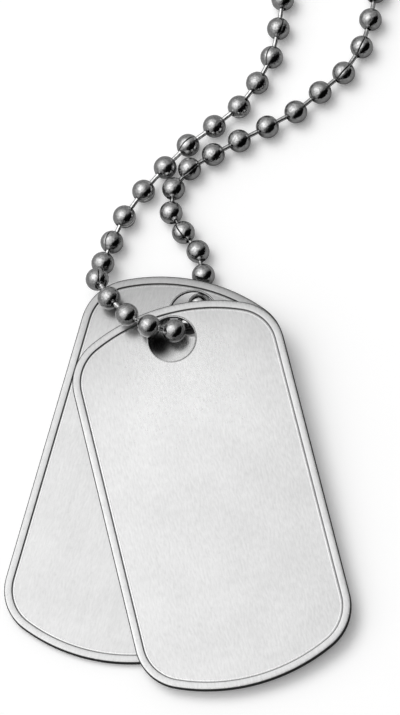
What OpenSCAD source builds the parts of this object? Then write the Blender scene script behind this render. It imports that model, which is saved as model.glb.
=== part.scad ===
// Identification dog tags: two blank steel tags threaded on one ball chain, lying on a flat surface.
// Millimetres, +Z up, the surface at z = 0, the origin under the middle of the whole object.

/* [Tags] */
// Length of the front tag
tag_len = 52; // [46:0.5:56]
// Width of the front tag
tag_w = 27.7; // [25:0.1:30]
// Length of the back tag, measured by itself
back_tag_len = 51.8; // [46:0.1:56]
// Width of the back tag, whose covered corner stays inside the front tag's outline
back_tag_w = 26.8; // [25:0.1:30]
// Radius of the four corners
corner_r = 6.6; // [5:0.1:8]
// Radius of the two bowed ends
end_r = 23.5; // [22:0.5:28]
// Width of the raised border
rim_w = 1.1; // [0.8:0.05:1.6]
// Thickness of the raised border
rim_t = 0.9; // [0.7:0.05:1.1]
// Rounding of the border's outer edges
rim_round = 0.2; // [0.1:0.05:0.3]
// Thickness of the flat panel inside the border
panel_t = 0.5; // [0.4:0.05:0.6]
// Width of the groove between border and panel
groove_w = 0.25; // [0.15:0.05:0.4]
// Depth of the groove below the panel's face
groove_depth = 0.1; // [0.05:0.01:0.15]
// Diameter of the hole
hole_d = 6; // [5.6:0.1:6.4]
// Distance from the tag's end to the middle of the hole
hole_inset = 4.5; // [4.3:0.1:5]
// Distance of the back tag's hole from its long middle line
back_hole_off = 0.45; // [0:0.05:0.5]
// Softened edge of the hole
hole_chamfer = 0.1; // [0.05:0.01:0.15]

/* [How the tags lie] */
// Turn of the front tag, with its hole end to the left
front_turn = 12.8; // [8:0.1:18]
// Turn of the back tag, with its hole end to the right
back_turn = -15.8; // [-20:0.1:-12]
// Middle of the back tag's hole, to the right of the front tag's
back_hole_x = 2.55; // [2.3:0.05:2.8]
// Middle of the back tag's hole, beyond the front tag's
back_hole_y = 3.75; // [3.5:0.05:4]
// Slope of both tags, whose hole ends lie on the chain
tag_tilt = 3.2; // [2.9:0.1:3.6]
// Gap between the two tags
tag_gap = 0.1; // [0.1:0.05:0.3]

/* [Ball chain] */
// Diameter of a ball
ball_d = 3; // [2.6:0.05:3.05]
// Wall of the hollow ball
ball_wall = 0.2; // [0.15:0.01:0.25]
// Diameter of a pin between two balls
pin_d = 0.6; // [0.4:0.05:0.7]
// Diameter of the head that holds a pin in the next ball
pin_head_d = 1.1; // [1:0.05:1.2]
// Length of a pin from the middle of its own ball to the middle of its head
pin_reach = 3.75; // [3.7:0.01:3.8]
// Gap round a pin where it enters the next ball
pin_gap = 0.125; // [0.1:0.005:0.15]
// Gap between a ball and the tag that it lies on
seat_gap = 0.1; // [0.1:0.05:0.3]

/* [Connector] */
// Outer diameter of the sleeve that joins the two ends of the chain
sleeve_d = 4.2; // [4:0.1:5]
// Wall of the sleeve
sleeve_wall = 0.4; // [0.3:0.05:0.4]
// Thickness of the lip at each end of the sleeve
lip_t = 0.5; // [0.3:0.05:0.8]
// Opening in each lip, for the pin
lip_hole_d = 1.5; // [1.3:0.1:1.8]
// Width of the slot along the sleeve
slot_w = 0.9; // [0.6:0.1:1.2]
// Gap between a lip and the ball behind it
lip_gap = 0.2; // [0.1:0.05:0.4]

/* [Hidden] */
$fn = 48;

// Outline of a tag of width w and length len: corner and end arcs that run into each other
function corner_x(w) = w / 2 - corner_r;
function corner_angle(w) = acos(corner_x(w) / (end_r - corner_r));
function end_y(len) = len / 2 - end_r;
function corner_y(w, len) = end_y(len) + (end_r - corner_r) * sin(corner_angle(w));
function hole_y(len) = len / 2 - hole_inset;
border_w = rim_w + groove_w; // border and groove together
groove_floor = panel_t / 2 - groove_depth;
rim_round_step = 22.5;       // angle from point to point round the border's outer edges
border_lap = 0.4;            // how far the border's section reaches into the panel
panel_lap = 0.2;             // how far the panel reaches back over that section

// The back tag stands on the lower edge of its round end, and its hole end lies on the chain
back_hole_z = (back_tag_len - hole_inset) * sin(tag_tilt) + rim_t / 2 * cos(tag_tilt);
tag_step = (rim_t + tag_gap) / cos(tag_tilt); // height from one tag's middle plane to the other's

// Height of the back and the front tag's middle plane over a point measured from the front tag's hole
function back_z(x, y) = back_hole_z
    + tan(tag_tilt) * ((y - back_hole_y) * cos(back_turn) - (x - back_hole_x) * sin(back_turn));
function front_z(x, y) = back_z(x, y) + tag_step;

// Height of a ball's middle where it lies on the surface, on a panel, on a border or under a panel
lying = ball_d / 2;
function seat(thickness) = (thickness / 2 + ball_d / 2 + seat_gap) / cos(tag_tilt);
function on_back(x, y) = back_z(x, y) + seat(panel_t);
function on_front(x, y) = front_z(x, y) + seat(panel_t);
function on_rim(x, y) = front_z(x, y) + seat(rim_t);
function under_front(x, y) = front_z(x, y) - seat(panel_t);

// Route of the chain: number of the ball, its place from the front tag's hole, height of its middle
route = [
    // from the connector round the left of the loop
    [0, 21.7, 219, sleeve_d / 2],
    [4, 5.2, 216.2, lying],
    [11, -20.5, 202.3, lying],
    [19, -40.3, 175.5, lying],
    [27, -45.7, 142.7, lying],
    [35, -34.5, 111.5, lying],
    [42, -12.7, 92, lying],
    [49, 9.4, 72.8, lying],
    // down to the tags
    [55, 14.2, 48.7, lying],
    [56, 13.6, 44.5, lying],
    [57, 12.7, 40.4, lying],
    [59, 8.4, 33.5, lying],
    [61, 1.7, 28.4, lying],
    [63, -4.1, 22.2, lying],
    [64, -6.6, 18.7, lying],
    [65, -8.2, 15.2, lying],
    // up over the edges of both tags
    [66, -9.3, 12.1, lying + 0.4],
    [67, -9.8, 9.25, lying + 1.8],
    [68, -8, 5.8, on_back(-8, 5.8)],
    [69, -5.5, 2.8, on_rim(-5.5, 2.8) + 0.2],
    [70, -2.7, 1.2, on_front(-2.7, 1.2) + 0.1],
    // through both holes and out under the back tag
    [71, 0.4, 0.8, on_back(0.4, 0.8)],
    [72, 1.9, 2.9, under_front(1.9, 2.9)],
    [73, 3.2, 5.7, lying],
    [74, 3.7, 9.8, lying],
    [75, 3, 13.2, lying],
    [76, 1.1, 16, lying],
    [77, -0.5, 18.9, lying],
    [78, -0.2, 22.3, lying],
    [79, 1.9, 25, lying],
    // away from the tags
    [81, 8.4, 28.6, lying],
    [83, 15.8, 32.3, lying],
    [84, 19, 34.9, lying],
    [85, 22.1, 37.5, lying],
    [86, 24.5, 41.1, lying],
    [87, 25.7, 45, lying],
    [88, 26.4, 49, lying],
    // round the right of the loop to the connector
    [94, 36.8, 71.6, lying],
    [101, 59.8, 89.7, lying],
    [108, 82.6, 108.1, lying],
    [116, 95.7, 138.5, lying],
    [124, 92.2, 171.6, lying],
    [132, 74.1, 199.5, lying],
    [140, 45.2, 216.2, lying],
    [144, 28.7, 219, sleeve_d / 2]
];
rows = len(route);
last_ball = route[rows - 1][0];
end_step = [-4.2, 0]; // step from ball to ball where the chain leaves the connector

function plan(i) = [route[i][1], route[i][2]];
function step(i) = i == 0 || i == rows - 1
    ? end_step
    : (plan(i + 1) - plan(i - 1)) / (route[i + 1][0] - route[i - 1][0]);
function row_of(ball) = max([for (i = [0 : rows - 2]) if (route[i][0] <= ball) i]);
// A smooth curve through the rows in plan, and straight slopes between them in height
function between(i, t, h) =
    (2 * t * t * t - 3 * t * t + 1) * plan(i)
    + (t * t * t - 2 * t * t + t) * h * step(i)
    + (3 * t * t - 2 * t * t * t) * plan(i + 1)
    + (t * t * t - t * t) * h * step(i + 1);
function on_route(i, t) = concat(
    between(i, t, route[i + 1][0] - route[i][0]),
    route[i][3] * (1 - t) + route[i + 1][3] * t);
function ball_at(ball) = let (i = row_of(ball))
    on_route(i, (ball - route[i][0]) / (route[i + 1][0] - route[i][0]));
balls = [for (b = [0 : last_ball]) ball_at(b)];

// The connector lies midway between the two end balls
sleeve_x = (route[0][1] + route[rows - 1][1]) / 2;
sleeve_y = route[0][2];
sleeve_len = abs(route[rows - 1][1] - route[0][1]) + ball_d + 2 * (lip_gap + lip_t);

// The whole object's sides, which give the place of the origin
left_side = min([for (b = balls) b.x]) - ball_d / 2;
right_side = max([for (b = balls) b.x]) + ball_d / 2;
near_side = -((tag_len - hole_inset - end_r) * cos(front_turn) + end_r) * cos(tag_tilt);
far_side = sleeve_y + sleeve_d / 2;
origin = [(left_side + right_side) / 2, (near_side + far_side) / 2, 0];

// The border's section: rounded outer edge at x = 0, groove and a strip of panel towards -x
function half_section(side) = concat(
    [for (a = [0 : rim_round_step : 90])
        [rim_round * (cos(a) - 1), side * (rim_t / 2 - rim_round + rim_round * sin(a))]],
    [
        [-rim_w, side * rim_t / 2],
        [-rim_w, side * groove_floor],
        [-rim_w - groove_w / 2, side * groove_floor],
        [-border_w, side * panel_t / 2],
        [-border_w - border_lap, side * panel_t / 2]
    ]);
function backwards(points) = [for (i = [len(points) - 1 : -1 : 0]) points[i]];

module rim_section() {
    polygon(concat(half_section(1), backwards(half_section(-1))));
}

module rim_arc(radius, angle) {
    rotate_extrude(angle = angle) translate([radius, 0]) rim_section();
}

module rim(w, len) {
    angle = corner_angle(w);
    for (side = [0, 1]) mirror([side, 0, 0])
        translate([w / 2, 0, 0]) rotate([90, 0, 0])
            linear_extrude(height = 2 * corner_y(w, len), center = true) rim_section();
    for (end = [0, 1]) mirror([0, end, 0]) {
        for (side = [0, 1]) mirror([side, 0, 0])
            translate([corner_x(w), corner_y(w, len), 0]) rim_arc(corner_r, angle);
        translate([0, end_y(len), 0]) rotate([0, 0, angle])
            rim_arc(end_r, 180 - 2 * angle);
    }
}

// The flat outline of a tag, drawn in by inset
module outline(w, len, inset) {
    wedge = 2 * end_r * [cos(corner_angle(w)), sin(corner_angle(w))];
    square([w - 2 * inset, 2 * corner_y(w, len)], center = true);
    for (end = [0, 1]) mirror([0, end]) {
        for (side = [-1, 1])
            translate([side * corner_x(w), corner_y(w, len)]) circle(r = corner_r - inset);
        translate([0, end_y(len)]) intersection() {
            circle(r = end_r - inset);
            polygon([[0, 0], wedge, [-wedge.x, wedge.y]]);
        }
    }
}

module hole() {
    cylinder(d = hole_d, h = 2 * rim_t, center = true);
    for (side = [0, 1]) mirror([0, 0, side])
        translate([0, 0, panel_t / 2 - hole_chamfer])
            cylinder(d1 = hole_d, d2 = hole_d + 4 * hole_chamfer, h = 2 * hole_chamfer);
}

// One tag with the middle of its hole at the origin and its length along -Y
module tag(w, len, hole_off = 0) {
    difference() {
        translate([-hole_off, -hole_y(len), 0]) union() {
            rim(w, len);
            linear_extrude(height = panel_t, center = true) outline(w, len, border_w + panel_lap);
        }
        hole();
    }
}

// A tag's place: where its hole is, how its plane slopes and how it is turned in that plane
module lay_tag(hole_place, turn) {
    translate(hole_place - origin)
        rotate([0, 0, back_turn]) rotate([tag_tilt, 0, 0]) rotate([0, 0, turn - back_turn])
            children();
}

module front_tag() {
    color("gainsboro") lay_tag([0, 0, front_z(0, 0)], front_turn) tag(tag_w, tag_len);
}

module back_tag() {
    color("lightgray") lay_tag([back_hole_x, back_hole_y, back_hole_z], back_turn)
        tag(back_tag_w, back_tag_len, back_hole_off);
}

// Turns +Z to point along a direction
module along(direction) {
    rotate([0, acos(direction.z / norm(direction)), atan2(direction.y, direction.x)]) children();
}

// A hollow ball, drilled at its +Z side for the pin of the ball before
module hollow_ball() {
    rotate_extrude() difference() {
        intersection() {
            circle(d = ball_d);
            translate([0, -ball_d / 2]) square([ball_d / 2, ball_d]);
        }
        circle(d = ball_d - 2 * ball_wall);
        square([pin_d / 2 + pin_gap, ball_d]);
    }
}

// A pin that is fast in its own ball's wall and carries a round head
module pin() {
    root = ball_d / 2 - 0.6 * ball_wall;
    translate([0, 0, root]) cylinder(d = pin_d, h = pin_reach - root);
    translate([0, 0, pin_reach]) sphere(d = pin_head_d);
}

module link(b) {
    before = b == 0 ? balls[0] + [4, 0, 0] : balls[b - 1];
    translate(balls[b] - origin) {
        along(before - balls[b]) hollow_ball();
        if (b < last_ball)
            along(balls[b + 1] - balls[b]) pin();
    }
}

module ball_chain() {
    color("dimgray") for (b = [0 : last_ball]) link(b);
}

module connector() {
    inner_len = sleeve_len - 2 * lip_t;
    color("silver") translate([sleeve_x, sleeve_y, sleeve_d / 2] - origin) difference() {
        rotate([0, 90, 0]) difference() {
            cylinder(d = sleeve_d, h = sleeve_len, center = true);
            cylinder(d = sleeve_d - 2 * sleeve_wall, h = inner_len, center = true);
            cylinder(d = lip_hole_d, h = 2 * sleeve_len, center = true);
        }
        translate([-inner_len / 2, -slot_w / 2, 0]) cube([inner_len, slot_w, sleeve_d]);
    }
}

front_tag();
back_tag();
ball_chain();
connector();
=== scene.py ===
import math
import random

import bmesh
import bpy
from mathutils import Matrix, Vector


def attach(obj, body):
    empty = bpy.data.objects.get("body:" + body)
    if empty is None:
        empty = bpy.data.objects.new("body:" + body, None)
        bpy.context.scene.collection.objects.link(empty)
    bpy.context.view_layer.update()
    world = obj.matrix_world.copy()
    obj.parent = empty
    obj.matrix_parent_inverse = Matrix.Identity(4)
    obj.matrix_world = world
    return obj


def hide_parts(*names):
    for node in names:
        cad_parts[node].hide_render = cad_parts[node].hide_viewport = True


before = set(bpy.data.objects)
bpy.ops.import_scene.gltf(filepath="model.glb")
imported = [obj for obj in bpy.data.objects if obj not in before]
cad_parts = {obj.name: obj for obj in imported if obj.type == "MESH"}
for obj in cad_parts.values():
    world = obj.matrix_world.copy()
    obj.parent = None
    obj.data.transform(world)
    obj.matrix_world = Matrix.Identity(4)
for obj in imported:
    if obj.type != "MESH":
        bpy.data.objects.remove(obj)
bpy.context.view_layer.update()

# View of the photograph.
# A long lens looks down on the tags from the near side, leaning a little to the right,
# and its frame is filled by the tags and the lower part of the chain.
mm = 0.001
view_aim = Vector((-22.148, -88.145, 0)) * mm
view_distance = 0.7
view_lean_back = math.radians(23.298)
view_lean_right = math.radians(7.727)
view_lens = 275.7

photo_camera = bpy.data.objects.new("photo_camera", bpy.data.cameras.new("photo_camera"))
bpy.context.scene.collection.objects.link(photo_camera)
photo_camera.rotation_euler = (view_lean_back, view_lean_right, 0)
view_back = photo_camera.rotation_euler.to_matrix() @ Vector((0, 0, 1))
photo_camera.location = view_aim + view_back * view_distance
photo_camera.data.lens = view_lens
photo_camera.data.sensor_width = 36
photo_camera.data.clip_start = 0.01
photo_camera.data.clip_end = 100
bpy.context.scene.camera = photo_camera


# Table and light.
# The tags lie on a smooth white table under a light tent: one wide soft light high on the left, a dim
# ceiling round it, and an open dark side low on the right, all mirrored by the steel. A disk-shaped lamp
# at the upper left throws the soft shadows.
def add_node(tree, kind, **settings):
    """Adds a node to a material, a world or a group, and sets its options."""
    made = tree.nodes.new(kind)
    for name, value in settings.items():
        setattr(made, name, value)
    return made


def feed(tree, value, socket):
    """Gives a node's input another node's output or a plain value."""
    if isinstance(value, bpy.types.NodeSocket):
        tree.links.new(value, socket)
    else:
        socket.default_value = value


def add_math(tree, operation, *inputs):
    made = add_node(tree, "ShaderNodeMath", operation=operation)
    for place, value in enumerate(inputs):
        feed(tree, value, made.inputs[place])
    return made.outputs[0]


def add_range(tree, value, from_low, from_high, to_low, to_high, kind="LINEAR"):
    made = add_node(tree, "ShaderNodeMapRange", interpolation_type=kind)
    for name, given in (("Value", value), ("From Min", from_low), ("From Max", from_high),
                        ("To Min", to_low), ("To Max", to_high)):
        feed(tree, given, made.inputs[name])
    return made.outputs["Result"]


def direction(azimuth, elevation):
    """Unit vector towards a place in the sky, given in degrees."""
    a = math.radians(azimuth)
    e = math.radians(elevation)
    return Vector((math.cos(e) * math.cos(a), math.cos(e) * math.sin(a), math.sin(e)))


def cosine_to(tree, coordinates, towards):
    """Cosine of the angle between each direction of the sky and one of them."""
    dot = add_node(tree, "ShaderNodeVectorMath", operation="DOT_PRODUCT")
    feed(tree, coordinates, dot.inputs[0])
    dot.inputs[1].default_value = towards
    return dot.outputs["Value"]


def soft_spot(tree, cosine, strength, width):
    """A glow that fades from its middle as a bell curve, its width in degrees."""
    below_one = 0.99999
    angle = add_math(tree, "ARCCOSINE", add_math(tree, "MULTIPLY", cosine, below_one))
    share = add_math(tree, "DIVIDE", angle, math.radians(width))
    power = add_math(tree, "MULTIPLY", add_math(tree, "MULTIPLY", share, share), -0.5)
    return add_math(tree, "MULTIPLY", add_math(tree, "EXPONENT", power), strength)


light_side = direction(168, 62)
light_strength = 1.9
light_width = 23.5
halo_strength = 0.3
halo_width = 47.7
ceiling_strength = 0.334
dark_side = direction(-40, -12)
dark_from_cosine = -0.03
dark_full_cosine = 0.46
dark_share = 0.01
tent = bpy.data.worlds.new("light_tent")
bpy.context.scene.world = tent
tent.use_nodes = True
tent_tree = tent.node_tree
tent_tree.nodes.clear()
tent_place = add_node(tent_tree, "ShaderNodeTexCoord").outputs["Generated"]
to_light = cosine_to(tent_tree, tent_place, light_side)
to_dark = cosine_to(tent_tree, tent_place, dark_side)
glow = add_math(tent_tree, "ADD", soft_spot(tent_tree, to_light, light_strength, light_width),
                ceiling_strength)
glow = add_math(tent_tree, "ADD", glow, soft_spot(tent_tree, to_light, halo_strength, halo_width))
open_side = add_range(tent_tree, to_dark, dark_from_cosine, dark_full_cosine, 1.0, dark_share,
                      "SMOOTHSTEP")
tent_light = add_node(tent_tree, "ShaderNodeBackground")
feed(tent_tree, add_math(tent_tree, "MULTIPLY", glow, open_side), tent_light.inputs["Strength"])
tent_out = add_node(tent_tree, "ShaderNodeOutputWorld")
feed(tent_tree, tent_light.outputs[0], tent_out.inputs["Surface"])

table_side = 6.0
table_white = 0.93
table_white_in_steel = 0.38
table_shine = 0.17
table_mesh = bpy.data.meshes.new("table")
table_bm = bmesh.new()
bmesh.ops.create_grid(table_bm, x_segments=1, y_segments=1, size=table_side / 2)
table_bm.to_mesh(table_mesh)
table_bm.free()
table = bpy.data.objects.new("table", table_mesh)
bpy.context.scene.collection.objects.link(table)
table_finish = bpy.data.materials.new("table_white")
table_finish.use_nodes = True
table_tree = table_finish.node_tree
table_shader = table_tree.nodes["Principled BSDF"]
table_rays = add_node(table_tree, "ShaderNodeLightPath")
table_mirrored = table_rays.outputs["Is Glossy Ray"]
table_tone = add_range(table_tree, table_mirrored, 0, 1, table_white, table_white_in_steel)
feed(table_tree, table_tone, table_shader.inputs["Base Color"])
table_shader.inputs["Roughness"].default_value = 0.9
table_shader.inputs["Specular IOR Level"].default_value = 0.1
table_shader.inputs["Emission Color"].default_value = (1, 1, 1, 1)
table_glow = add_range(table_tree, table_mirrored, 0, 1, table_shine, 0.0)
feed(table_tree, table_glow, table_shader.inputs["Emission Strength"])
table_mesh.materials.append(table_finish)

lamp_side = direction(132, 58)
lamp_distance = 1.4
lamp = bpy.data.lights.new("shadow_lamp", "AREA")
lamp.shape = "DISK"
lamp.size = 0.9
lamp.energy = 6
lamp_object = bpy.data.objects.new("shadow_lamp", lamp)
bpy.context.scene.collection.objects.link(lamp_object)
lamp_object.location = view_aim + lamp_side * lamp_distance
lamp_object.rotation_euler = lamp_side.to_track_quat("Z", "Y").to_euler()
lamp_object.visible_glossy = False
bpy.context.scene.view_settings.view_transform = "Standard"


# Tags.
# Two stainless steel blanks, cut from sheet, pressed so that a crowned border stands up round a flat panel
# behind a fine fold, brushed along their length, and punched with a hole at one end for the chain.
front_long = 52.0
front_wide = 27.7
back_long = 51.8
back_wide = 26.8
panel_half = 0.25
border_half = 0.45
corner_radius = 6.6
end_radius = 23.5
hole_radius = 3.0
hole_soft = 0.1
hole_from_end = 4.5
back_hole_off = 0.45
tag_gap = 0.1
corner_steps = 16
end_steps = 12
hole_steps = 64
merge_gap = 0.0005


def border_rings():
    """The border's section, from its cut edge in to the panel.

    Each ring is its way in from the edge, its height, and how much it is cut steel painted dark with shade,
    fold painted with shade, or rubbed steel painted brighter as a highlight.
    Angles run in degrees round a softened edge, from its side up to its top.
    """
    cut_top = 0.22
    edge_round = 0.2
    round_end = 80
    cut_fade = 25
    rub_start = 60
    crest_in = 0.5
    crown = 0.1
    crown_end = 0.95
    lip_round = 0.03
    rings = [(0.0, cut_top, 1.0, 0.0, 0.0)]
    # The cut steel is painted dark with the shade it mirrors from the table, and the cut mask runs on round
    # the softened edge to draw a dark outline.
    for angle in (16, 32, 48, 64, round_end):
        a = math.radians(angle)
        cut = min(1.0, (round_end - angle) / cut_fade)
        rubbed = max(0.0, (angle - rub_start) / (round_end - rub_start))
        rings.append((edge_round * (1 - math.cos(a)), cut_top + edge_round * math.sin(a), cut, 0.0, rubbed))
    for way_in in (0.3, 0.45, 0.6, 0.76, crown_end):
        rings.append((way_in, border_half - crown * (way_in - crest_in) ** 2, 0.0, 0.0, 0.0))
    slope = math.atan(2 * crown * (crown_end - crest_in))
    middle_in = crown_end - lip_round * math.sin(slope)
    middle_up = rings[-1][1] - lip_round * math.cos(slope)
    # From the lip on, the fold's rings darken the steel with painted shade, and the crest by the panel is
    # rubbed steel with a painted highlight.
    for angle in (60, 38):
        a = math.radians(angle)
        rings.append((middle_in + lip_round * math.cos(a), middle_up + lip_round * math.sin(a),
                      0.0, 0.5, 0.0))
    rings += [
        (1.09, 0.242, 0.0, 1.0, 0.0),
        (1.13, 0.243, 0.0, 0.6, 0.0),
        (1.18, 0.25, 0.0, 0.0, 0.5),
        (1.25, 0.26, 0.0, 0.0, 1.0),
        (1.31, 0.26, 0.0, 0.0, 0.9),
        (1.38, panel_half, 0.0, 0.0, 0.0),
    ]
    return rings


def finish_piece(name, bm, place=None, flat_tops=False):
    """Makes a bmesh in millimetres an object in metres, smooth but for sharp edges and flat tops."""
    smooth_below = math.radians(35)
    level = 0.99999
    bm.normal_update()
    for face in bm.faces:
        face.smooth = not (flat_tops and abs(face.normal.z) > level)
    for edge in bm.edges:
        if len(edge.link_faces) == 2:
            edge.smooth = edge.calc_face_angle(0) < smooth_below
    if place is not None:
        bmesh.ops.transform(bm, matrix=place, verts=bm.verts)
    bmesh.ops.scale(bm, vec=(mm, mm, mm), verts=bm.verts)
    mesh = bpy.data.meshes.new(name)
    bm.to_mesh(mesh)
    bm.free()
    piece = bpy.data.objects.new(name, mesh)
    bpy.context.scene.collection.objects.link(piece)
    return piece


def blank_outline(bm, long, wide):
    """The blank's outline as one face: a quarter drawn by two spins, mirrored twice and filled."""
    corner_x = wide / 2 - corner_radius
    end_y = long / 2 - end_radius
    corner_angle = math.acos(corner_x / (end_radius - corner_radius))
    corner_y = end_y + (end_radius - corner_radius) * math.sin(corner_angle)
    side = bm.verts.new((wide / 2, 0, 0))
    upper = bm.verts.new((wide / 2, corner_y, 0))
    bm.edges.new((side, upper))
    bent = bmesh.ops.spin(bm, geom=[upper], cent=(corner_x, corner_y, 0), axis=(0, 0, 1),
                          angle=corner_angle, steps=corner_steps, use_merge=False)
    last = [v for v in bent["geom_last"] if isinstance(v, bmesh.types.BMVert)]
    bmesh.ops.spin(bm, geom=last, cent=(0, end_y, 0), axis=(0, 0, 1),
                   angle=math.pi / 2 - corner_angle, steps=end_steps, use_merge=False)
    for axis in ("X", "Y"):
        bmesh.ops.mirror(bm, geom=bm.verts[:] + bm.edges[:], merge_dist=merge_gap, axis=axis)
    bmesh.ops.remove_doubles(bm, verts=bm.verts, dist=merge_gap)
    filled = bmesh.ops.edgeloop_fill(bm, edges=bm.edges[:])
    face = filled["faces"][0]
    face.normal_update()
    if face.normal.z < 0:
        face.normal_flip()
    return face


def draw_hole_in(bm, edges, middle, inward, up, masks, values):
    """Carries the hole's edge one step further in and up, and marks how much it is cut steel painted dark
    with shade, fold shade, and rubbed steel painted brighter as a highlight.
    """
    made = bmesh.ops.extrude_edge_only(bm, edges=edges)
    verts = [part for part in made["geom"] if isinstance(part, bmesh.types.BMVert)]
    for vert in verts:
        away = Vector((vert.co.x - middle.x, vert.co.y - middle.y, 0))
        vert.co -= away.normalized() * inward
        vert.co.z += up
        for mask, value in zip(masks, values):
            vert[mask] = value
    fresh = set(verts)
    return [part for part in made["geom"] if isinstance(part, bmesh.types.BMEdge)
            and part.verts[0] in fresh and part.verts[1] in fresh]


def tag_blank(long, wide, hole_off):
    """The whole blank in millimetres, the middle of its hole at the origin and its length along -Y."""
    # The hole's rim is marked rubbed, which paints it brighter as a highlight.
    panel_rubbed_and_highlight_at_hole = 0.6
    bm = bmesh.new()
    masks = [bm.verts.layers.float.new(name) for name in ("cut", "fold_shade", "rubbed")]
    cut_mask, _, rubbed_and_highlight_mask = masks
    face = blank_outline(bm, long, wide)
    for vert in face.verts:
        vert[cut_mask] = 1.0
    rings = border_rings()
    raised = bmesh.ops.extrude_discrete_faces(bm, faces=[face])
    face = raised["faces"][0]
    bmesh.ops.translate(bm, vec=(0, 0, rings[0][1]), verts=face.verts)
    for ring, before in zip(rings[1:], rings):
        bmesh.ops.inset_region(bm, faces=[face], thickness=ring[0] - before[0], depth=0,
                               use_even_offset=True, use_boundary=True)
        bmesh.ops.translate(bm, vec=(0, 0, ring[1] - before[1]), verts=face.verts)
        for vert in face.verts:
            for mask, value in zip(masks, ring[2:]):
                vert[mask] = value
    panel_edges = face.edges[:]
    bmesh.ops.delete(bm, geom=[face], context="FACES_ONLY")

    hole_middle = Vector((hole_off, long / 2 - hole_from_end, 0))
    rim = bmesh.ops.create_circle(bm, cap_ends=False, segments=hole_steps, radius=hole_radius + hole_soft,
                                  matrix=Matrix.Translation(hole_middle + Vector((0, 0, panel_half))))
    hole_edges = list({edge for vert in rim["verts"] for edge in vert.link_edges})
    for vert in rim["verts"]:
        vert[rubbed_and_highlight_mask] = panel_rubbed_and_highlight_at_hole
    bmesh.ops.triangle_fill(bm, use_beauty=True, use_dissolve=False, edges=panel_edges + hole_edges)
    # The hole's edge rounds down into a wall of cut steel, painted dark with shade, and its rounded top is
    # rubbed steel with a painted highlight.
    turned = 0.0
    for turn, cut, rubbed in ((30, 0.0, 1.0), (60, 0.75, 0.5), (90, 1.0, 0.0)):
        turned_on = math.radians(turn)
        hole_edges = draw_hole_in(bm, hole_edges, hole_middle,
                                  hole_soft * (math.sin(turned_on) - math.sin(turned)),
                                  -hole_soft * (math.cos(turned) - math.cos(turned_on)),
                                  masks, (cut, 0.0, rubbed))
        turned = turned_on
    draw_hole_in(bm, hole_edges, hole_middle, 0, hole_soft - panel_half, masks, (1.0, 0.0, 0.0))
    bmesh.ops.mirror(bm, geom=bm.verts[:] + bm.edges[:] + bm.faces[:], merge_dist=merge_gap, axis="Z")
    bmesh.ops.remove_doubles(bm, verts=bm.verts, dist=merge_gap)
    bmesh.ops.recalc_face_normals(bm, faces=bm.faces)
    bmesh.ops.translate(bm, vec=-hole_middle, verts=bm.verts)
    return bm


# The layout is measured from the front tag's hole in plan. The back tag stands on the lower edge of its
# round end, and both tags slope down to it.
tag_slope = math.radians(3.2)
front_turn = math.radians(12.8)
back_turn = math.radians(-15.8)
layout_origin = Vector((25.208, 87.13, 0))
back_hole = Vector((2.55, 3.75, (back_long - hole_from_end) * math.sin(tag_slope)
                    + border_half * math.cos(tag_slope)))
tag_step = (2 * border_half + tag_gap) / math.cos(tag_slope)


def back_height(x, y):
    """Height of the back tag's middle plane over a place measured from the front tag's hole."""
    away = (y - back_hole.y) * math.cos(back_turn) - (x - back_hole.x) * math.sin(back_turn)
    return back_hole.z + math.tan(tag_slope) * away


def front_height(x, y):
    return back_height(x, y) + tag_step


def tag_place(hole_place, turn):
    """Place of a tag in the frame: turned about its hole, and tilted along the back tag's length."""
    return (Matrix.Translation(hole_place - layout_origin)
            @ Matrix.Rotation(back_turn, 4, "Z")
            @ Matrix.Rotation(tag_slope, 4, "X")
            @ Matrix.Rotation(turn - back_turn, 4, "Z"))


def new_group(name, inputs, outputs):
    """A shader node group with named inputs and outputs, and the sockets inside it."""
    group = bpy.data.node_groups.new(name, "ShaderNodeTree")
    for socket, kind in inputs:
        group.interface.new_socket(name=socket, in_out="INPUT", socket_type=kind)
    for socket, kind in outputs:
        group.interface.new_socket(name=socket, in_out="OUTPUT", socket_type=kind)
    given = add_node(group, "NodeGroupInput").outputs
    gives = add_node(group, "NodeGroupOutput").inputs
    return group, given, gives


# Nearly all values of a noise lie in this span.
noise_span = (0.3, 0.7)


def add_noise(tree, place, scale, detail=2.0):
    made = add_node(tree, "ShaderNodeTexNoise")
    feed(tree, place, made.inputs["Vector"])
    feed(tree, scale, made.inputs["Scale"])
    made.inputs["Detail"].default_value = detail
    return made.outputs["Fac"]


def factor_by(tree, mask, full):
    """A factor that goes from 1, where a mask is 0, to its full value, where the mask is 1."""
    return add_range(tree, mask, 0, 1, 1.0, full)


def make_brush_grain():
    """Fine streaks of a brushing belt, along Y, their width and length in millimetres."""
    half_wave = 0.5
    group, given, gives = new_group(
        "brush_grain",
        (("Place", "NodeSocketVector"), ("Streak Width", "NodeSocketFloat"),
         ("Streak Length", "NodeSocketFloat")),
        (("Streaks", "NodeSocketFloat"),))
    across = add_math(group, "DIVIDE", half_wave, given["Streak Width"])
    along = add_math(group, "DIVIDE", half_wave, given["Streak Length"])
    stretch = add_node(group, "ShaderNodeCombineXYZ")
    for axis, value in (("X", across), ("Y", along), ("Z", across)):
        feed(group, value, stretch.inputs[axis])
    stretched = add_node(group, "ShaderNodeVectorMath", operation="MULTIPLY")
    feed(group, given["Place"], stretched.inputs[0])
    feed(group, stretch.outputs[0], stretched.inputs[1])
    feed(group, add_noise(group, stretched.outputs[0], 1.0), gives["Streaks"])
    return group


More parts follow.
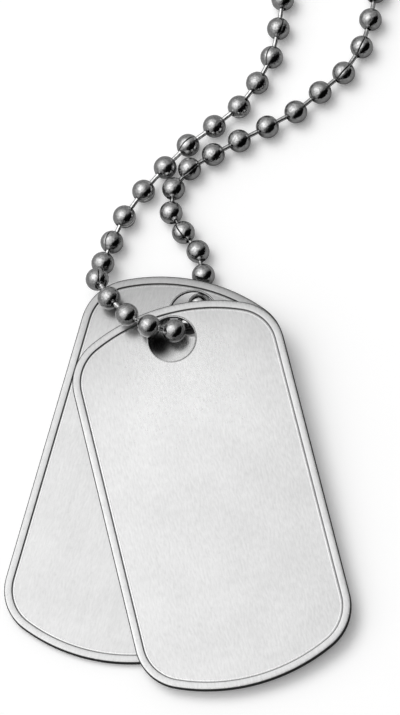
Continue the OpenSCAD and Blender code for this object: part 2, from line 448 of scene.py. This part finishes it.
def make_wear_and_highlight():
    """Steel that is carried about: faint clouds and specks, and rubbed edges that are smoother and painted
    brighter as a highlight.
    """
    half_wave = 0.5
    speck_span = (0.6, 0.76)
    # Rubbed edges are made smoother and painted brighter, as a highlight.
    speck_tone = 0.96
    speck_roughness = 0.08
    cloud_scale_share = 0.06
    cloud_tones = (0.97, 1.03)
    rubbed_and_highlight_tone = 1.12
    rubbed_roughness = 0.7
    group, given, gives = new_group(
        "wear_and_highlight",
        (("Place", "NodeSocketVector"), ("Tone", "NodeSocketFloat"), ("Roughness", "NodeSocketFloat"),
         ("Rubbed", "NodeSocketFloat"), ("Speck Size", "NodeSocketFloat")),
        (("Tone", "NodeSocketFloat"), ("Roughness", "NodeSocketFloat"), ("Specks", "NodeSocketFloat")))
    speck_scale = add_math(group, "DIVIDE", half_wave, given["Speck Size"])
    cloud_scale = add_math(group, "MULTIPLY", speck_scale, cloud_scale_share)
    speck_noise = add_noise(group, given["Place"], speck_scale, detail=1.0)
    specks = add_range(group, speck_noise, *speck_span, 0.0, 1.0)
    clouds = add_range(group, add_noise(group, given["Place"], cloud_scale), *noise_span, *cloud_tones)
    tone = add_math(group, "MULTIPLY", given["Tone"], clouds)
    tone = add_math(group, "MULTIPLY", tone, factor_by(group, specks, speck_tone))
    tone = add_math(group, "MULTIPLY", tone, factor_by(group, given["Rubbed"], rubbed_and_highlight_tone))
    rough = add_math(group, "MULTIPLY", given["Roughness"],
                     factor_by(group, given["Rubbed"], rubbed_roughness))
    feed(group, tone, gives["Tone"])
    feed(group, add_math(group, "ADD", rough, add_math(group, "MULTIPLY", specks, speck_roughness)),
         gives["Roughness"])
    feed(group, specks, gives["Specks"])
    return group


brush_grain = make_brush_grain()
wear_and_highlight = make_wear_and_highlight()


def add_group(tree, group, **values):
    """Places a node group and feeds its named inputs, written here in small letters."""
    made = add_node(tree, "ShaderNodeGroup", node_tree=group)
    for name, value in values.items():
        feed(tree, value, made.inputs[name.replace("_", " ").title()])
    return made.outputs


def mask_of(tree, name):
    """A mask that the mesh carries from point to point, such as how rubbed the steel is."""
    return add_node(tree, "ShaderNodeAttribute", attribute_name=name).outputs["Fac"]


def place_in_mm(tree, place):
    """Object coordinates turned to a piece's own axes, in millimetres."""
    mapping = add_node(tree, "ShaderNodeMapping", vector_type="TEXTURE")
    feed(tree, add_node(tree, "ShaderNodeTexCoord").outputs["Object"], mapping.inputs["Vector"])
    mapping.inputs["Location"].default_value = place.to_translation() * mm
    mapping.inputs["Rotation"].default_value = place.to_euler()
    mapping.inputs["Scale"].default_value = (mm, mm, mm)
    return mapping.outputs["Vector"]


def steel_shader(name, metallic=1.0):
    """A steel with nothing on it yet: the material, its node tree and its shader's sockets."""
    made = bpy.data.materials.new(name)
    made.use_nodes = True
    shader = made.node_tree.nodes["Principled BSDF"]
    shader.inputs["Metallic"].default_value = metallic
    return made, made.node_tree, shader.inputs


def add_bump(tree, height, sockets):
    """Bumps a surface by a height in millimetres."""
    bump = add_node(tree, "ShaderNodeBump")
    feed(tree, height, bump.inputs["Height"])
    bump.inputs["Distance"].default_value = mm
    feed(tree, bump.outputs[0], sockets["Normal"])


def slight_bow(tree, spot, middle, radius):
    """Height of the faint dome that the press leaves in a flat panel, in millimetres."""
    away = add_node(tree, "ShaderNodeVectorMath", operation="SUBTRACT")
    feed(tree, spot, away.inputs[0])
    away.inputs[1].default_value = middle
    square = add_node(tree, "ShaderNodeVectorMath", operation="DOT_PRODUCT")
    feed(tree, away.outputs[0], square.inputs[0])
    feed(tree, away.outputs[0], square.inputs[1])
    return add_math(tree, "MULTIPLY", square.outputs["Value"], -0.5 / radius)


def punched_burr(tree, spot):
    """Height of the low wall of steel that the punch leaves round the hole, in millimetres."""
    burr_height = 0.06
    burr_width = 0.14
    burr_top = hole_radius + hole_soft
    in_plan = (1, 1, 0)
    away = add_node(tree, "ShaderNodeVectorMath", operation="MULTIPLY")
    feed(tree, spot, away.inputs[0])
    away.inputs[1].default_value = in_plan
    out = add_node(tree, "ShaderNodeVectorMath", operation="LENGTH")
    feed(tree, away.outputs[0], out.inputs[0])
    return add_range(tree, out.outputs["Value"], burr_top, burr_top + burr_width, burr_height, 0.0,
                     "SMOOTHSTEP")


def painted_chain_shade(tree, spot, seat, chain_shade_reach):
    """Painted shade of the chain's balls, which shadow the steel and are mirrored dark in it: darkest round
    the chain's seat by the hole.
    """
    darkest = 0.03
    dark_reach = 0.25 * chain_shade_reach
    away = add_node(tree, "ShaderNodeVectorMath", operation="DISTANCE")
    feed(tree, spot, away.inputs[0])
    away.inputs[1].default_value = seat
    return add_range(tree, away.outputs["Value"], dark_reach, chain_shade_reach, darkest, 1.0, "SMOOTHSTEP")


def darker_hole_end(tree, spot, end_tone_factor):
    """A factor of the steel's tone that darkens it towards the end by the hole."""
    darkening_start = -10.0
    darkening_full = 3.0
    along = add_node(tree, "ShaderNodeSeparateXYZ")
    feed(tree, spot, along.inputs[0])
    return add_range(tree, along.outputs["Y"], darkening_start, darkening_full, 1.0, end_tone_factor, "SMOOTHSTEP")


def brushed_tag_steel(name, place, middle, tone, streak_share, end_tone_factor, chain_shade_reach):
    """Brushed stainless steel: streaks along the tag, a cut edge and fold painted dark as shade, and crests
    rubbed smoother and painted brighter as highlights.
    """
    brushed_metallic = 0.75
    speck_size = 0.16
    streak_tones = (0.91, 1.09)
    streak_roughness = (0.29, 0.35)
    streak_depth = 0.0015
    bow_radius = 520
    # Painted shade in the fold, where the groove lies in shade.
    fold_shade_tone = 0.3
    # The cut edge is painted dark with the shade of the table that it mirrors.
    cut_edge_shade_tone = 0.05
    cut_roughness = 0.2
    made, tree, sockets = steel_shader(name, brushed_metallic)
    spot = place_in_mm(tree, place)
    fine = add_group(tree, brush_grain, place=spot, streak_width=0.12, streak_length=0.45)["Streaks"]
    broad = add_group(tree, brush_grain, place=spot, streak_width=0.4, streak_length=6.0)["Streaks"]
    streaks = add_math(tree, "ADD", add_math(tree, "MULTIPLY", fine, 1 - streak_share),
                       add_math(tree, "MULTIPLY", broad, streak_share))
    streaky = add_math(tree, "MULTIPLY", add_range(tree, streaks, *noise_span, *streak_tones), tone)
    rough = add_range(tree, streaks, *noise_span, *streak_roughness)
    worn_and_highlighted = add_group(tree, wear_and_highlight, place=spot, tone=streaky, roughness=rough,
                     rubbed=mask_of(tree, "rubbed"), speck_size=speck_size)
    toned = add_math(tree, "MULTIPLY", worn_and_highlighted["Tone"], factor_by(tree, mask_of(tree, "fold_shade"), fold_shade_tone))
    toned = add_math(tree, "MULTIPLY", toned, darker_hole_end(tree, spot, end_tone_factor))
    # On the back tag, painted shade of the balls round the chain's seat by the hole.
    if chain_shade_reach:
        seat_on_tag = place.inverted() @ chain_seat
        toned = add_math(tree, "MULTIPLY", toned, painted_chain_shade(tree, spot, seat_on_tag, chain_shade_reach))
    toned = add_math(tree, "MULTIPLY", toned, factor_by(tree, mask_of(tree, "cut"), cut_edge_shade_tone))
    feed(tree, toned, sockets["Base Color"])
    cut_rough = add_math(tree, "MULTIPLY", mask_of(tree, "cut"), cut_roughness)
    feed(tree, add_math(tree, "ADD", worn_and_highlighted["Roughness"], cut_rough), sockets["Roughness"])
    height = add_math(tree, "MULTIPLY", streaks, streak_depth)
    height = add_math(tree, "ADD", height, slight_bow(tree, spot, middle, bow_radius))
    height = add_math(tree, "ADD", height, punched_burr(tree, spot))
    add_bump(tree, height, sockets)
    return made


front_hole = Vector((0, 0, front_height(0, 0)))
seat_in_plan = (-1.7, -0.3)
chain_seat = Vector((*seat_in_plan, back_height(*seat_in_plan) + panel_half)) - layout_origin
for tag_name, long, wide, hole_off, hole_place, turn, tone, streak_share, end_tone_factor, chain_shade_reach in (
        ("front_tag", front_long, front_wide, 0.0, front_hole, front_turn, 0.62, 0.12, 0.85, 0.0),
        ("back_tag", back_long, back_wide, back_hole_off, back_hole, back_turn, 0.59, 0.3, 0.64, 2.9)):
    place = tag_place(hole_place, turn)
    middle = Vector((-hole_off, hole_from_end - long / 2, 0))
    tag = finish_piece(tag_name + "_steel_blank", tag_blank(long, wide, hole_off), place, flat_tops=True)
    tag.data.materials.append(brushed_tag_steel(
        tag_name + "_steel", place, middle, tone, streak_share, end_tone_factor, chain_shade_reach))
    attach(tag, "root")
    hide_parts(tag_name)


# Ball chain.
# Balls rolled from steel strip and polished by tumbling, hollow in the real chain but drawn solid, each with
# an open seam from end to end.
# Short pins in their drilled ends join them. Balls and pins in the picture have more faces than those of
# the wide loop that runs out of it.
ball_radius = 1.5
pin_radius = 0.3
pin_end = 3.45
drilled_radius = 0.42
drilled_deep = 0.35
seam_wide = 0.15
full_turn = 2 * math.pi
lying = ball_radius
sleeve_radius = 2.1
chain_speck_size = 0.14
picture_balls = range(54, 90)


def seat(thickness):
    """Height of a ball's middle over the middle plane of a sloping sheet that it lies on."""
    return (thickness / 2 + ball_radius + tag_gap) / math.cos(tag_slope)


# Heights of a ball's middle where it lies on a tag's panel or border, or hangs under the front tag.
def on_back(x, y):
    return back_height(x, y) + seat(2 * panel_half)


def on_front(x, y):
    return front_height(x, y) + seat(2 * panel_half)


def on_border(x, y):
    return front_height(x, y) + seat(2 * border_half)


def under_front(x, y):
    return front_height(x, y) - seat(2 * panel_half)


# Balls that the route is led through: the ball's number, its place in plan from the front tag's hole, and
# its height. The photograph shows the stretch from about ball 55 to ball 88. The rest is a plain wide loop.
chain_route = [
    (0, 21.7, 219, sleeve_radius),
    (4, 5.2, 216.2, lying),
    (11, -20.5, 202.3, lying),
    (19, -40.3, 175.5, lying),
    (27, -45.7, 142.7, lying),
    (35, -34.5, 111.5, lying),
    (42, -12.7, 92, lying),
    (49, 9.4, 72.8, lying),
    (55, 14.2, 48.7, lying),
    (56, 13.6, 44.5, lying),
    (57, 12.7, 40.4, lying),
    (59, 8.4, 33.5, lying),
    (61, 1.7, 28.4, lying),
    (63, -4.1, 22.2, lying),
    (64, -6.6, 18.7, lying),
    (65, -8.2, 15.2, lying),
    (66, -9.3, 12.1, lying + 0.4),
    (67, -9.8, 9.25, lying + 1.8),
    (68, -8, 5.8, on_back(-8, 5.8)),
    (69, -5.5, 2.8, on_border(-5.5, 2.8) + 0.2),
    (70, -2.7, 1.2, on_front(-2.7, 1.2) + 0.1),
    (71, 0.4, 0.8, on_back(0.4, 0.8)),
    (72, 1.9, 2.9, under_front(1.9, 2.9)),
    (73, 3.2, 5.7, lying),
    (74, 3.7, 9.8, lying),
    (75, 3, 13.2, lying),
    (76, 1.1, 16, lying),
    (77, -0.5, 18.9, lying),
    (78, -0.2, 22.3, lying),
    (79, 1.9, 25, lying),
    (81, 8.4, 28.6, lying),
    (83, 15.8, 32.3, lying),
    (84, 19, 34.9, lying),
    (85, 22.1, 37.5, lying),
    (86, 24.5, 41.1, lying),
    (87, 25.7, 45, lying),
    (88, 26.4, 49, lying),
    (94, 36.8, 71.6, lying),
    (101, 59.8, 89.7, lying),
    (108, 82.6, 108.1, lying),
    (116, 95.7, 138.5, lying),
    (124, 92.2, 171.6, lying),
    (132, 74.1, 199.5, lying),
    (140, 45.2, 216.2, lying),
    (144, 28.7, 219, sleeve_radius),
]
last_ball = chain_route[-1][0]
end_step = Vector((-4.2, 0))


def route_plan(i):
    return Vector(chain_route[i][1:3])


def route_step(i):
    """Step in plan from ball to ball, where the route passes one of its points."""
    if i in (0, len(chain_route) - 1):
        return end_step
    balls_between = chain_route[i + 1][0] - chain_route[i - 1][0]
    return (route_plan(i + 1) - route_plan(i - 1)) / balls_between


def ball_middle(ball):
    """Middle of a ball: a smooth curve through the route's points in plan, straight slopes in height."""
    i = max(n for n, row in enumerate(chain_route[:-1]) if row[0] <= ball)
    span = chain_route[i + 1][0] - chain_route[i][0]
    t = (ball - chain_route[i][0]) / span
    plan = ((2 * t ** 3 - 3 * t ** 2 + 1) * route_plan(i)
            + (t ** 3 - 2 * t ** 2 + t) * span * route_step(i)
            + (3 * t ** 2 - 2 * t ** 3) * route_plan(i + 1)
            + (t ** 3 - t ** 2) * span * route_step(i + 1))
    height = chain_route[i][3] * (1 - t) + chain_route[i + 1][3] * t
    return Vector((plan.x, plan.y, height)) - layout_origin


def spun(bm, points, steps, angle=full_turn):
    """Turns a string of points round Z, and closes it where it meets the axis or itself."""
    verts = [bm.verts.new((away, 0, up)) for away, up in points]
    edges = [bm.edges.new(pair) for pair in zip(verts, verts[1:])]
    bmesh.ops.spin(bm, geom=verts + edges, cent=(0, 0, 0), axis=(0, 0, 1), angle=angle, steps=steps,
                   use_merge=angle == full_turn)
    bmesh.ops.remove_doubles(bm, verts=bm.verts, dist=merge_gap)


def one_ball(columns, rows, soft_seam):
    """A ball round the origin, drilled at both ends of Z, and cut open to its axis on the +X side."""
    rim_wide = 0.05
    rim_deep = 0.04
    lip_soft = 0.07
    bm = bmesh.new()
    rubbed_and_highlight_mask = bm.verts.layers.float.new("rubbed")
    rim_angle = math.asin((drilled_radius + rim_wide) / ball_radius)
    rim_up = ball_radius * math.cos(rim_angle)
    bore = [(0, rim_up - drilled_deep), (drilled_radius, rim_up - drilled_deep),
            (drilled_radius, rim_up - rim_deep)]
    arc = []
    for i in range(rows + 1):
        a = rim_angle + (math.pi - 2 * rim_angle) * i / rows
        arc.append((ball_radius * math.sin(a), ball_radius * math.cos(a)))
    half_seam = seam_wide / 2 / ball_radius
    spun(bm, bore + arc + [(away, -up) for away, up in bore[::-1]], columns, full_turn - 2 * half_seam)
    bmesh.ops.rotate(bm, cent=(0, 0, 0), matrix=Matrix.Rotation(half_seam, 3, "Z"), verts=bm.verts)
    poles = [vert for vert in bm.verts if math.hypot(vert.co.x, vert.co.y) < merge_gap]
    open_edges = [edge for edge in bm.edges if edge.is_boundary]
    axis = bm.edges.new(poles)
    for side in (-1, 1):
        lip = [edge for edge in open_edges if (edge.verts[0].co + edge.verts[1].co).y * side > 0]
        bmesh.ops.edgeloop_fill(bm, edges=lip + [axis])
    if soft_seam:
        lips = [edge for edge in open_edges
                if min(math.hypot(v.co.x, v.co.y) for v in edge.verts) > drilled_radius + merge_gap]
        softened = bmesh.ops.bevel(bm, geom=lips, offset=lip_soft, offset_type="OFFSET", segments=2,
                                   profile=0.5, affect="EDGES", material=-1)
        # The softened seam edges are marked rubbed, which paints them brighter as a highlight.
        for vert in softened["verts"]:
            vert[rubbed_and_highlight_mask] = 1.0
        bmesh.ops.remove_doubles(bm, verts=bm.verts, dist=merge_gap)
    bmesh.ops.recalc_face_normals(bm, faces=bm.faces)
    return bm


def one_pin(columns):
    """A pin along +Z from its own ball's drilled end into the next ball's, thicker where it is fast."""
    foot_up = 1.0
    foot_radius = 0.38
    shoulder_up = 1.36
    shoulder_radius = 0.37
    neck_up = 1.5
    tip_soft = 0.1
    bm = bmesh.new()
    spun(bm, [(0, foot_up), (foot_radius, foot_up), (shoulder_radius, shoulder_up), (pin_radius, neck_up),
              (pin_radius, pin_end - tip_soft), (pin_radius - tip_soft, pin_end), (0, pin_end)], columns)
    bmesh.ops.recalc_face_normals(bm, faces=bm.faces)
    return bm


def turned_along(towards, roll=0.0):
    """Turns +Z to a direction, and +X to the camera's side of it, or a roll further round."""
    z = towards.normalized()
    x = (view_back - z * view_back.dot(z)).normalized()
    y = z.cross(x)
    turned = Matrix((x, y, z)).transposed()
    return turned.to_4x4() @ Matrix.Rotation(roll, 4, "Z")


def add_copies(whole, template, places):
    """Adds a copy of a mesh at each place."""
    shape = bpy.data.meshes.new("copy")
    for place in places:
        copy = template.copy()
        bmesh.ops.transform(copy, matrix=place, verts=copy.verts)
        copy.to_mesh(shape)
        copy.free()
        whole.from_mesh(shape)
    template.free()
    bpy.data.meshes.remove(shape)


# Where the photograph shows a ball's seam, the seam's turn from the camera's side in degrees. The other
# seams in the picture are drawn on the far side of their balls, and those of the loop anywhere.
seam_turns = {56: 17, 57: -31, 59: 62, 61: -24, 63: 52, 64: 60, 65: -38, 67: 15, 76: 14, 79: -10,
              85: 7, 86: 8}
far_side = (110, 250)
any_side = (0, 360)
drawn = random.Random(7)
ball_middles = [ball_middle(ball) for ball in range(last_ball + 1)]
ball_middles = [ball_middles[0] - end_step.to_3d(), *ball_middles, ball_middles[-1] + end_step.to_3d()]
ball_places = {True: [], False: []}
pin_places = {True: [], False: []}
for ball in range(last_ball + 1):
    before, middle, after = ball_middles[ball:ball + 3]
    in_picture = ball in picture_balls
    drawn_turn = drawn.uniform(*(far_side if in_picture else any_side))
    seam_turn = math.radians(seam_turns.get(ball, drawn_turn))
    ball_places[in_picture].append(Matrix.Translation(middle) @ turned_along(before - after, seam_turn))
    if ball < last_ball:
        pin_places[in_picture].append(Matrix.Translation(middle) @ turned_along(after - middle))

balls_bm = bmesh.new()
add_copies(balls_bm, one_ball(columns=20, rows=12, soft_seam=True), ball_places[True])
add_copies(balls_bm, one_ball(columns=12, rows=7, soft_seam=False), ball_places[False])
pins_bm = bmesh.new()
add_copies(pins_bm, one_pin(columns=12), pin_places[True])
add_copies(pins_bm, one_pin(columns=6), pin_places[False])


def polished_steel(name, tone):
    """Tumbled and polished steel: shallow dents, tarnish, fine specks, and edges of seams rubbed smoother and
    painted brighter as highlights.
    """
    polish_roughness = 0.08
    dent_scale = 1.8
    dent_depth = 0.065
    tarnish_scale = 3.2
    tarnish_span = (0.35, 0.65)
    tarnish_tones = (0.8, 1.16)
    speck_depth = 0.003
    made, tree, sockets = steel_shader(name)
    spot = place_in_mm(tree, Matrix())
    dents = add_noise(tree, spot, dent_scale, detail=3.0)
    tarnish = add_range(tree, add_noise(tree, spot, tarnish_scale, detail=4.0), *tarnish_span, *tarnish_tones)
    worn_and_highlighted = add_group(tree, wear_and_highlight, place=spot, tone=add_math(tree, "MULTIPLY", tarnish, tone),
                     roughness=polish_roughness, rubbed=mask_of(tree, "rubbed"), speck_size=chain_speck_size)
    feed(tree, worn_and_highlighted["Tone"], sockets["Base Color"])
    feed(tree, worn_and_highlighted["Roughness"], sockets["Roughness"])
    height = add_math(tree, "MULTIPLY", worn_and_highlighted["Specks"], speck_depth)
    height = add_math(tree, "ADD", height, add_math(tree, "MULTIPLY", dents, dent_depth))
    add_bump(tree, height, sockets)
    return made


for name, bm, tone in (("chain_balls", balls_bm, 0.5), ("chain_pins", pins_bm, 0.68)):
    piece = finish_piece(name, bm)
    piece.data.materials.append(polished_steel(name + "_steel", tone))
    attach(piece, "root")
    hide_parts("ball_chain")


# Connector.
# A sleeve rolled from steel strip, with a slot along its top and a drilled lip at each end
# that the last balls snap behind.
sleeve_wall = 0.4
lip_thick = 0.5
lip_hole_radius = 0.75
lip_bend = 0.35
slot_columns = 2
sleeve_columns = 29
sleeve_long = 11.4
sleeve_in_plan = (route_plan(0) + route_plan(len(chain_route) - 1)) / 2
sleeve_middle = sleeve_in_plan.to_3d() + Vector((0, 0, sleeve_radius)) - layout_origin


def connector_sleeve():
    """The sleeve along Z round the origin, its slot towards +X."""
    bend_steps = 4
    near_middle = 0.1
    bm = bmesh.new()
    rubbed_and_highlight_mask = bm.verts.layers.float.new("rubbed")
    half = sleeve_long / 2
    inner = sleeve_radius - sleeve_wall
    end = []
    for i in range(bend_steps + 1):
        a = full_turn / 4 * i / bend_steps
        end.append((sleeve_radius - lip_bend + lip_bend * math.sin(a),
                    half - lip_bend + lip_bend * math.cos(a)))
    section = [(lip_hole_radius, half), *end, *[(away, -up) for away, up in end[::-1]],
               (lip_hole_radius, -half), (lip_hole_radius, lip_thick - half), (inner, lip_thick - half),
               (inner, half - lip_thick), (lip_hole_radius, half - lip_thick), (lip_hole_radius, half)]
    spun(bm, section, sleeve_columns)
    step = full_turn / sleeve_columns
    slot_faces = []
    for face in bm.faces:
        middle = face.calc_center_median()
        angle = math.atan2(middle.y, middle.x) % full_turn
        on_wall = abs(middle.z) < near_middle and math.hypot(middle.x, middle.y) > lip_hole_radius
        if on_wall and angle < slot_columns * step:
            slot_faces.append(face)
    bmesh.ops.delete(bm, geom=slot_faces, context="FACES")
    slot_edges = [edge for edge in bm.edges if edge.is_boundary]
    # The slot's edges are marked rubbed, which paints them brighter as a highlight.
    for edge in slot_edges:
        for vert in edge.verts:
            vert[rubbed_and_highlight_mask] = 1.0
    bmesh.ops.bridge_loops(bm, edges=slot_edges)
    bmesh.ops.rotate(bm, cent=(0, 0, 0), matrix=Matrix.Rotation(-step * slot_columns / 2, 3, "Z"),
                     verts=bm.verts)
    bmesh.ops.recalc_face_normals(bm, faces=bm.faces)
    return bm


def rolled_strip_steel(name, place):
    """Steel strip with the fine streaks of its rolling along the sleeve, rubbed smoother and painted brighter
    as a highlight at the slot.
    """
    strip_tones = (0.52, 0.58)
    strip_roughness = (0.18, 0.26)
    streak_depth = 0.001
    made, tree, sockets = steel_shader(name)
    spot = place_in_mm(tree, place)
    streaks = add_group(tree, brush_grain, place=spot, streak_width=0.08, streak_length=2.0)["Streaks"]
    worn_and_highlighted = add_group(tree, wear_and_highlight, place=spot,
                     tone=add_range(tree, streaks, *noise_span, *strip_tones),
                     roughness=add_range(tree, streaks, *noise_span, *strip_roughness),
                     rubbed=mask_of(tree, "rubbed"), speck_size=chain_speck_size)
    feed(tree, worn_and_highlighted["Tone"], sockets["Base Color"])
    feed(tree, worn_and_highlighted["Roughness"], sockets["Roughness"])
    add_bump(tree, add_math(tree, "MULTIPLY", streaks, streak_depth), sockets)
    return made


sleeve_place = Matrix.Translation(sleeve_middle) @ Matrix.Rotation(-math.pi / 2, 4, "Y")
streaks_place = Matrix.Translation(sleeve_middle) @ Matrix.Rotation(math.pi / 2, 4, "Z")
sleeve = finish_piece("connector_sleeve", connector_sleeve(), sleeve_place)
sleeve.data.materials.append(rolled_strip_steel("connector_steel", streaks_place))
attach(sleeve, "root")
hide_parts("connector")
